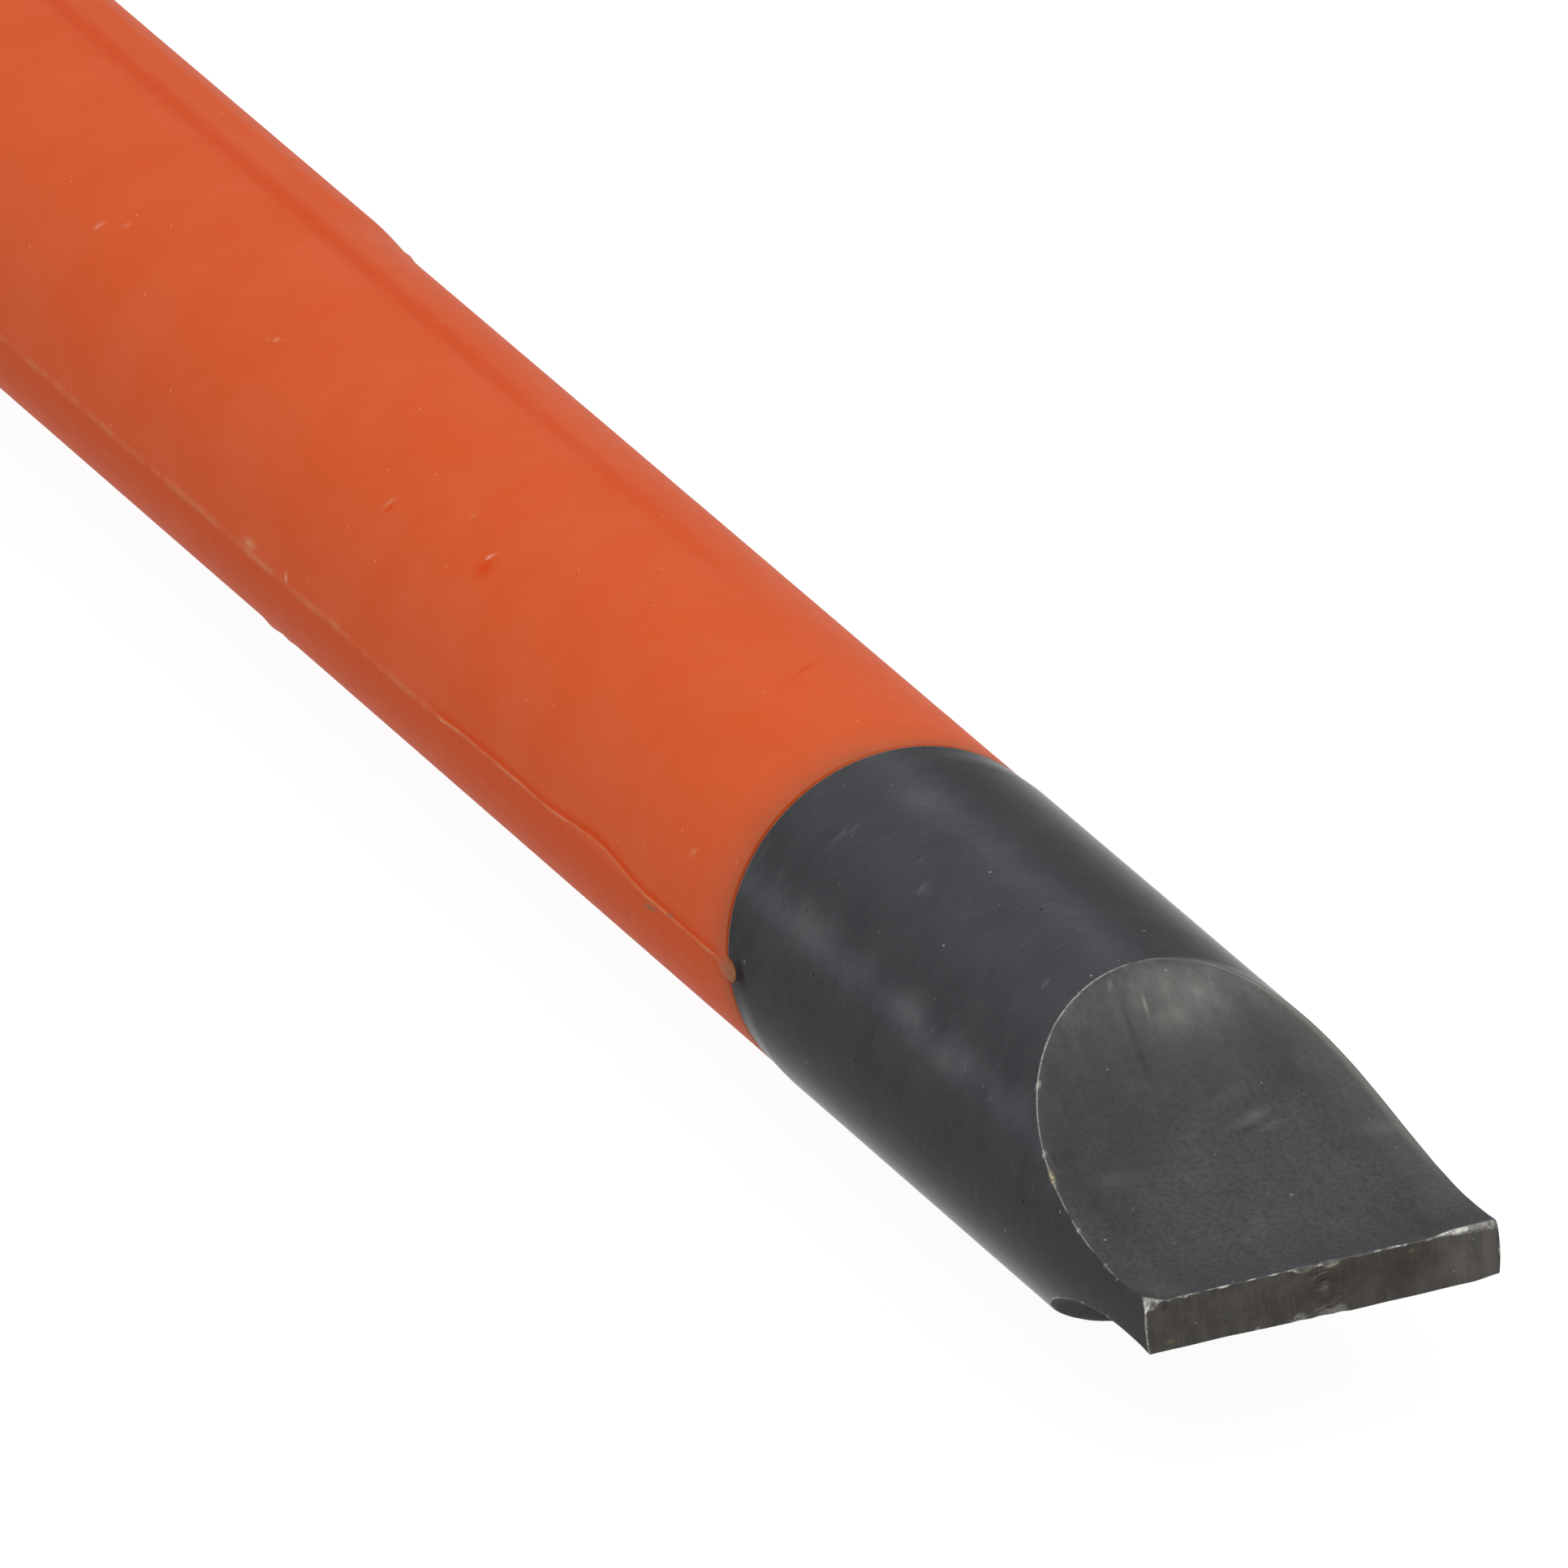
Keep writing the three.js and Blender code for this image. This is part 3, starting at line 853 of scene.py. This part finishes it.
class Shading:
    """A material with a Principled shader, and short calls that add nodes to it."""

    def __init__(self, name):
        self.material = bpy.data.materials.new(name)
        self.material.use_nodes = True
        self.tree = self.material.node_tree
        self.shader = self.tree.nodes["Principled BSDF"]

    def feed(self, socket, value):
        """Links a node's output to a socket, or sets the socket to a plain value."""
        if isinstance(value, bpy.types.NodeSocket):
            self.tree.links.new(value, socket)
        elif isinstance(value, tuple) and len(value) == 3 and socket.type == "RGBA":
            socket.default_value = (*value, 1)
        else:
            socket.default_value = value

    def add(self, kind, inputs, **settings):
        """A new node, with its settings and its inputs, by name or by number."""
        node = self.tree.nodes.new(kind)
        for key, value in settings.items():
            setattr(node, key, value)
        for key, value in inputs.items():
            self.feed(node.inputs[key], value)
        return node

    def shade(self, **inputs):
        for key, value in inputs.items():
            self.feed(self.shader.inputs[key.replace("_", " ")], value)

    def math(self, operation, *values, clamp=False):
        inputs = dict(enumerate(values))
        return self.add("ShaderNodeMath", inputs, operation=operation, use_clamp=clamp).outputs[0]

    def scaled(self, vector, factors):
        node = self.add("ShaderNodeVectorMath", {0: vector, 1: factors}, operation="MULTIPLY")
        return node.outputs[0]

    def noise(self, vector, scale, detail=3.0, roughness=0.55):
        """Noise with about scale bumps in each unit of the vector, from 0 to 1."""
        inputs = {"Vector": vector, "Scale": scale, "Detail": detail, "Roughness": roughness}
        return self.add("ShaderNodeTexNoise", inputs).outputs["Fac"]

    def ramp(self, value, low, high, start=0.0, end=1.0):
        """value's stretch from low to high, smoothly mapped to start to end."""
        inputs = {"Value": value, 1: low, 2: high, 3: start, 4: end}
        return self.add("ShaderNodeMapRange", inputs, interpolation_type="SMOOTHSTEP").outputs[0]

    def mix(self, share, first, second):
        node = self.add("ShaderNodeMix", {}, data_type="RGBA")
        self.feed(node.inputs[0], share)
        self.feed(node.inputs[6], first)
        self.feed(node.inputs[7], second)
        return node.outputs[2]

    def attribute(self, name):
        return self.add("ShaderNodeAttribute", {}, attribute_name=name).outputs["Fac"]

    def scaled_attribute(self, name, factor):
        return self.math("MULTIPLY", self.attribute(name), factor)

    def places(self):
        """The chisel's own a, y and z in millimetres."""
        position = self.add("ShaderNodeTexCoord", {}).outputs["Object"]
        parts = self.add("ShaderNodeSeparateXYZ", {0: position})
        a = self.math("MULTIPLY_ADD", parts.outputs[0], -1 / MM, TIP_X / MM)
        y = self.math("MULTIPLY", parts.outputs[1], 1 / MM)
        z = self.math("MULTIPLY_ADD", parts.outputs[2], 1 / MM, -AXIS_Z / MM)
        return a, y, z

    def vector(self, x, y, z=0.0):
        return self.add("ShaderNodeCombineXYZ", {0: x, 1: y, 2: z}).outputs[0]

    def specks(self, vector, per_mm, radius, share):
        """Round specks of a radius in millimetres, in that share of the cells of a scattered grid."""
        inputs = {"Vector": vector, "Scale": per_mm}
        cells = self.add("ShaderNodeTexVoronoi", inputs, voronoi_dimensions="2D")
        near = self.ramp(cells.outputs["Distance"], radius * per_mm, 0.4 * radius * per_mm)
        pick = self.add("ShaderNodeSeparateXYZ", {0: cells.outputs["Color"]}).outputs[0]
        return self.math("MULTIPLY", near, self.math("LESS_THAN", pick, share))

    def bump(self, height, distance, strength=1.0):
        inputs = {"Height": height, "Distance": distance * MM, "Strength": strength}
        return self.add("ShaderNodeBump", inputs).outputs["Normal"]


BARE_STEEL = (0.50, 0.49, 0.46)
BRASSY_STEEL = (0.42, 0.36, 0.22)
PALE_DUST = (0.22, 0.225, 0.225)
FAINT_DUST = (0.17, 0.17, 0.17)
SCUFFED_STEEL = (0.15, 0.155, 0.16)
STEEL_TINT = (0.4, 0.4, 0.4)


def add_wear(shading, color, flat_map):
    """Bare metal on the worn edges, and pale dust specks: returns the colour, and how bare it is."""
    worn = shading.attribute("worn")
    breakup = shading.noise(flat_map, 9.0, 3.0, 0.65)
    bare = shading.math("MULTIPLY", worn, shading.ramp(breakup, 0.35, 0.6, 0.35, 1.15), clamp=True)
    tarnish = shading.ramp(shading.noise(flat_map, 2.2), 0.6, 0.8)
    brassy = shading.math("ADD", shading.attribute("brassy"), tarnish)
    tint = shading.mix(shading.math("MINIMUM", brassy, 1.0), BARE_STEEL, BRASSY_STEEL)
    color = shading.mix(bare, color, tint)
    color = shading.mix(shading.specks(flat_map, 0.42, 0.07, 0.14), color, PALE_DUST)
    color = shading.mix(shading.specks(flat_map, 1.3, 0.04, 0.05), color, FAINT_DUST)
    return color, bare


OXIDE_DARK = (0.044, 0.0453, 0.0492)
OXIDE_LIGHT = (0.056, 0.0574, 0.0617)
OXIDE_UNDERSIDE_SHADE = (0.044, 0.0425, 0.041)
TURNED_GRAIN = (0.085, 0.087, 0.093)
PITS = (0.012, 0.010, 0.010)
NOSE_STAIN_AND_SHADOW = (0.006, 0.003, 0.002)


def turned_steel():
    """Blackened round stock: cloudy oxide, fine rings from turning, and scuffs round it; painted shade
    low on one side.
    """
    shading = Shading("turned_steel")
    a, y, z = shading.places()
    arc = shading.math("MULTIPLY", shading.math("ARCTAN2", y, z), BAR_RADIUS)
    around = shading.vector(a, arc)
    leaning = shading.vector(shading.math("MULTIPLY_ADD", arc, 0.12, a), arc)
    clouds = shading.noise(around, 0.45, 6.0, 0.6)
    grain = shading.noise(shading.scaled(around, (9.0, 0.9, 1.0)), 1.0, 4.0, 0.6)
    scratches = shading.noise(shading.scaled(leaning, (16.0, 0.55, 1.0)), 1.0, 3.0, 0.7)
    light_scratches = shading.ramp(scratches, 0.56, 0.72)
    patches = shading.ramp(shading.noise(around, 0.8, 3.0), 0.45, 0.66)
    scuffs = shading.math("MULTIPLY", light_scratches, patches)
    color = shading.mix(shading.ramp(clouds, 0.3, 0.7), OXIDE_DARK, OXIDE_LIGHT)
    # Painted shade: the nose is darker and browner low on its -y side.
    underside_shade = shading.ramp(arc, -7.4, -9.4, 0.0, 0.8)
    color = shading.mix(underside_shade, color, OXIDE_UNDERSIDE_SHADE)
    color = shading.mix(shading.ramp(grain, 0.35, 0.75, 0, 0.22), color, TURNED_GRAIN)
    color = shading.mix(shading.math("MULTIPLY", scuffs, 0.5), color, SCUFFED_STEEL)
    color = shading.mix(shading.specks(around, 0.5, 0.07, 0.10), color, PITS)
    # Rubbed places, and the flat's painted glint where it spreads onto the round.
    color = shading.mix(shading.scaled_attribute("rubbed_and_glint", 0.8), color, SCUFFED_STEEL)
    # Stains, and the painted shadow beside the sleeve's flash lump.
    color = shading.mix(shading.attribute("stain_and_shadow"), color, NOSE_STAIN_AND_SHADOW)
    color, bare = add_wear(shading, color, around)
    rough = shading.ramp(clouds, 0.3, 0.7, 0.46, 0.40)
    rough = shading.math("MULTIPLY_ADD", bare, -0.12, rough)
    shading.shade(Base_Color=color, Roughness=rough, Metallic=0.9, Anisotropic=0.9)
    shading.shade(Specular_Tint=STEEL_TINT, Tangent=shading.vector(1.0, 0.0))
    shading.shade(Sheen_Weight=0.46, Sheen_Roughness=0.2)
    shading.shade(Normal=shading.bump(shading.math("ADD", grain, scratches), 0.004, 0.5))
    return shading.material


FLAT_BLUISH = (0.077, 0.078, 0.082)
FLAT_GREENISH = (0.054, 0.056, 0.0525)
FLAT_STREAK = (0.045, 0.046, 0.047)
FLAT_PALE = (0.11, 0.113, 0.112)
FLAT_DIM = (0.046, 0.046, 0.044)
FLAT_GRAIN = (0.04, 0.04, 0.042)
FLAT_RUBBED_AND_GLINT = (0.24, 0.24, 0.22)
FLAT_STAIN = (0.030, 0.028, 0.027)


def ground_steel():
    """The wheel-ground flats: streaks along the blade, greenish at the heel and bluish at the tip."""
    shading = Shading("ground_steel")
    a, y, _ = shading.places()
    plan = shading.vector(a, y)
    clouds = shading.noise(plan, 0.40, 6.0, 0.62)
    streaks = shading.noise(shading.scaled(plan, (0.22, 2.4, 1.0)), 1.0, 4.0, 0.5)
    grain = shading.noise(plan, 5.0, 4.0, 0.7)
    heel = shading.ramp(shading.math("MULTIPLY_ADD", clouds, 4.0, a), 6.0, 15.0)
    color = shading.mix(heel, FLAT_BLUISH, FLAT_GREENISH)
    streaked = shading.ramp(streaks, 0.35, 0.75)
    streak_share = shading.math("MULTIPLY", streaked, shading.ramp(clouds, 0.3, 0.7, 0.0, 0.2))
    color = shading.mix(streak_share, color, FLAT_STREAK)
    color = shading.mix(shading.ramp(clouds, 0.48, 0.72, 0.0, 0.4), color, FLAT_PALE)
    color = shading.mix(shading.ramp(clouds, 0.48, 0.28, 0.0, 0.5), color, FLAT_DIM)
    color = shading.mix(shading.ramp(grain, 0.40, 0.68, 0.0, 0.6), color, FLAT_GRAIN)
    # Rubbed places, and the painted glint along the flat's far edge.
    color = shading.mix(shading.scaled_attribute("rubbed_and_glint", 0.5), color, FLAT_RUBBED_AND_GLINT)
    color = shading.mix(shading.attribute("stain_and_shadow"), color, FLAT_STAIN)
    color, bare = add_wear(shading, color, plan)
    rough = shading.ramp(streaks, 0.3, 0.7, 0.56, 0.64)
    rough = shading.math("MULTIPLY_ADD", bare, -0.12, rough)
    shading.shade(Base_Color=color, Roughness=rough, Metallic=0.8, Anisotropic=0.3)
    shading.shade(Specular_Tint=STEEL_TINT, Tangent=shading.vector(0.0, 1.0))
    shading.shade(Normal=shading.bump(shading.math("MULTIPLY_ADD", streaks, 0.2, grain), 0.004, 0.5))
    return shading.material


FACE_DARK = (0.044, 0.041, 0.036)
FACE_LIGHT = (0.066, 0.062, 0.056)
FACE_SCRATCH = (0.095, 0.088, 0.075)
FACE_GRAIN = (0.030, 0.027, 0.025)
FACE_RUBBED = (0.20, 0.19, 0.17)
FACE_STAIN = (0.034, 0.026, 0.022)
FACE_BRASSY = (0.16, 0.14, 0.06)


def faced_steel():
    """The blunt end face: brownish, with upright scratches and stains."""
    shading = Shading("faced_steel")
    _, y, z = shading.places()
    plan = shading.vector(y, z)
    clouds = shading.noise(plan, 0.8, 6.0, 0.65)
    upright = shading.noise(shading.scaled(plan, (9.0, 0.5, 1.0)), 1.0, 4.0, 0.65)
    grain = shading.noise(plan, 8.0, 4.0, 0.7)
    color = shading.mix(shading.ramp(clouds, 0.35, 0.68), FACE_DARK, FACE_LIGHT)
    color = shading.mix(shading.ramp(upright, 0.45, 0.75, 0.0, 0.5), color, FACE_SCRATCH)
    color = shading.mix(shading.ramp(grain, 0.45, 0.75, 0.0, 0.4), color, FACE_GRAIN)
    color = shading.mix(shading.scaled_attribute("rubbed_and_glint", 0.5), color, FACE_RUBBED)
    color = shading.mix(shading.attribute("stain_and_shadow"), color, FACE_STAIN)
    color = shading.mix(shading.attribute("brassy"), color, FACE_BRASSY)
    color, bare = add_wear(shading, color, plan)
    rough = shading.ramp(upright, 0.3, 0.7, 0.46, 0.56)
    rough = shading.math("MULTIPLY_ADD", bare, -0.12, rough)
    shading.shade(Base_Color=color, Roughness=rough, Metallic=0.9)
    shading.shade(Specular_Tint=STEEL_TINT)
    shading.shade(Normal=shading.bump(shading.math("ADD", grain, upright), 0.006, 0.7))
    return shading.material


ORANGE = (0.443, 0.0660, 0.0165)
ORANGE_CLOUD = (0.449, 0.0735, 0.0225)
ORANGE_MOTTLE = (0.47, 0.080, 0.026)
ORANGE_UNDERSIDE_SHADE = (0.415, 0.057, 0.0105)
ORANGE_DUSTY = (0.44, 0.20, 0.105)
ORANGE_RICH = (0.44, 0.041, 0.003)
ORANGE_GRIMY = (0.155, 0.067, 0.036)
ORANGE_FRONT_SHADE = (0.08, 0.022, 0.004)
ORANGE_DIRTY = (0.19, 0.090, 0.045)
ORANGE_WHITE = (0.58, 0.30, 0.22)
ORANGE_SPECK = (0.52, 0.19, 0.11)


def orange_plastic():
    """Matte moulded plastic with a faint grain, cloudy where it is dusty and richer in its grooves;
    painted shade low on one side and along its front end.
    """
    shading = Shading("orange_plastic")
    a, y, z = shading.places()
    solid = shading.vector(a, y, z)
    clouds = shading.noise(solid, 0.28, 5.0, 0.6)
    mottle = shading.noise(solid, 1.6, 4.0, 0.6)
    grain = shading.noise(solid, 7.0, 3.0, 0.6)
    cloudy = shading.ramp(clouds, 0.35, 0.65)
    color = shading.mix(cloudy, ORANGE, ORANGE_CLOUD)
    color = shading.mix(shading.ramp(mottle, 0.4, 0.75, 0.0, 0.15), color, ORANGE_MOTTLE)
    arc = shading.math("MULTIPLY", shading.math("ARCTAN2", y, z), SLEEVE_RADIUS)
    # Painted shade: the sleeve is darker low on its -y side.
    color = shading.mix(shading.ramp(arc, -9.6, -10.3), color, ORANGE_UNDERSIDE_SHADE)
    color = shading.mix(shading.scaled_attribute("dusty", 0.75), color, ORANGE_DUSTY)
    color = shading.mix(shading.attribute("rich"), color, ORANGE_RICH)
    color = shading.mix(shading.attribute("grimy"), color, ORANGE_GRIMY)
    # Painted shade along the sleeve's front end, where it meets the steel.
    color = shading.mix(shading.attribute("dark"), color, ORANGE_FRONT_SHADE)
    color = shading.mix(shading.attribute("dirty"), color, ORANGE_DIRTY)
    color = shading.mix(shading.attribute("white"), color, ORANGE_WHITE)
    specks = shading.specks(shading.vector(a, arc), 0.45, 0.05, 0.2)
    color = shading.mix(specks, color, ORANGE_SPECK)
    rough = shading.ramp(mottle, 0.3, 0.7, 0.58, 0.68)
    shading.shade(Base_Color=color, Roughness=rough)
    shading.shade(Specular_IOR_Level=0.03, Specular_Tint=(1.0, 0.5, 0.35))
    shading.shade(Sheen_Weight=0.06, Sheen_Roughness=0.2)
    shading.shade(Normal=shading.bump(shading.math("MULTIPLY_ADD", mottle, 2.0, grain), 0.006, 0.5))
    return shading.material


# ---- camera, lights and floor

CAMERA_AZIMUTH = math.radians(68.5)
CAMERA_ELEVATION = math.radians(23.0)
CAMERA_ROLL = math.radians(4.1)
CAMERA_DISTANCE = 1.696
CAMERA_LENS = 1192.0
AIM_RIGHT = -17.62
AIM_UP = 16.42

SKY = 0.9
FLOOR_GLOW = 0.95
FLOOR_WHITE = 0.05

LIGHTS_AIM = 0.02  # metres behind the end face

# Softboxes: name, direction from the blade, distance, size, and how bright it looks
SOFTBOXES = (
    ("overhead_strip", (-0.62, 0.245, 0.75), 0.8, (0.11, 1.0), 1.3),
    ("left_box", (-0.80, -0.59, 0.11), 0.8, (0.3, 0.12), 3.0),
    ("front_box", (0.70, -0.04, 0.70), 0.9, (1.0, 1.0), 3.05),
)


def view_axes():
    """The camera's right, up and back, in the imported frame."""
    az, el, roll = CAMERA_AZIMUTH, CAMERA_ELEVATION, CAMERA_ROLL
    back = Vector((math.sin(az) * math.cos(el), -math.cos(az) * math.cos(el), math.sin(el)))
    level = Vector((math.cos(az), math.sin(az), 0))
    right = math.cos(roll) * level - math.sin(roll) * back.cross(level)
    return right, back.cross(right), back


def add_camera():
    right, up, back = view_axes()
    data = bpy.data.cameras.new("camera")
    data.lens = CAMERA_LENS
    data.sensor_width = 36
    data.clip_start = 0.1
    data.clip_end = 50
    camera = bpy.data.objects.new("camera", data)
    aim = Vector((TIP_X, 0, AXIS_Z)) + (AIM_RIGHT * right + AIM_UP * up) * MM
    turn = Matrix((right, up, back)).transposed().to_4x4()
    camera.matrix_world = Matrix.Translation(aim + CAMERA_DISTANCE * back) @ turn
    bpy.context.scene.collection.objects.link(camera)
    bpy.context.scene.camera = camera


def softbox(name, direction, distance, size, radiance):
    """An area light that faces the chisel's blade, as bright as radiance when looked at."""
    data = bpy.data.lights.new(name, "AREA")
    data.shape = "RECTANGLE"
    data.size, data.size_y = size
    data.energy = radiance * math.pi * size[0] * size[1]
    light = bpy.data.objects.new(name, data)
    towards = Vector(direction).normalized()
    light.location = Vector((TIP_X - LIGHTS_AIM, 0, AXIS_Z)) + distance * towards
    light.rotation_euler = towards.to_track_quat("Z", "Y").to_euler()
    bpy.context.scene.collection.objects.link(light)


def add_floor():
    bpy.ops.mesh.primitive_plane_add(size=8, location=(0, 0, 0))
    floor = bpy.context.object
    floor.name = "floor"
    shading = Shading("floor")
    shading.shade(Base_Color=(FLOOR_WHITE, FLOOR_WHITE, FLOOR_WHITE), Roughness=0.9)
    shading.shade(Specular_IOR_Level=0.0, Emission_Color=(1.0, 1.0, 1.0), Emission_Strength=FLOOR_GLOW)
    floor.data.materials.append(shading.material)


def add_world():
    world = bpy.data.worlds.new("world")
    world.use_nodes = True
    background = world.node_tree.nodes["Background"]
    background.inputs["Color"].default_value = (1, 1, 1, 1)
    background.inputs["Strength"].default_value = SKY
    bpy.context.scene.world = world


add_camera()
add_floor()
add_world()
for box in SOFTBOXES:
    softbox(*box)
bpy.context.scene.view_settings.view_transform = "Standard"

bar = build_bar([turned_steel(), ground_steel(), faced_steel()])
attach(bar, "root")
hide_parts("chisel_bar")

sleeve = build_sleeve([orange_plastic()])
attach(sleeve, "root")
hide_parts("shank_sleeve")

bpy.context.view_layer.update()
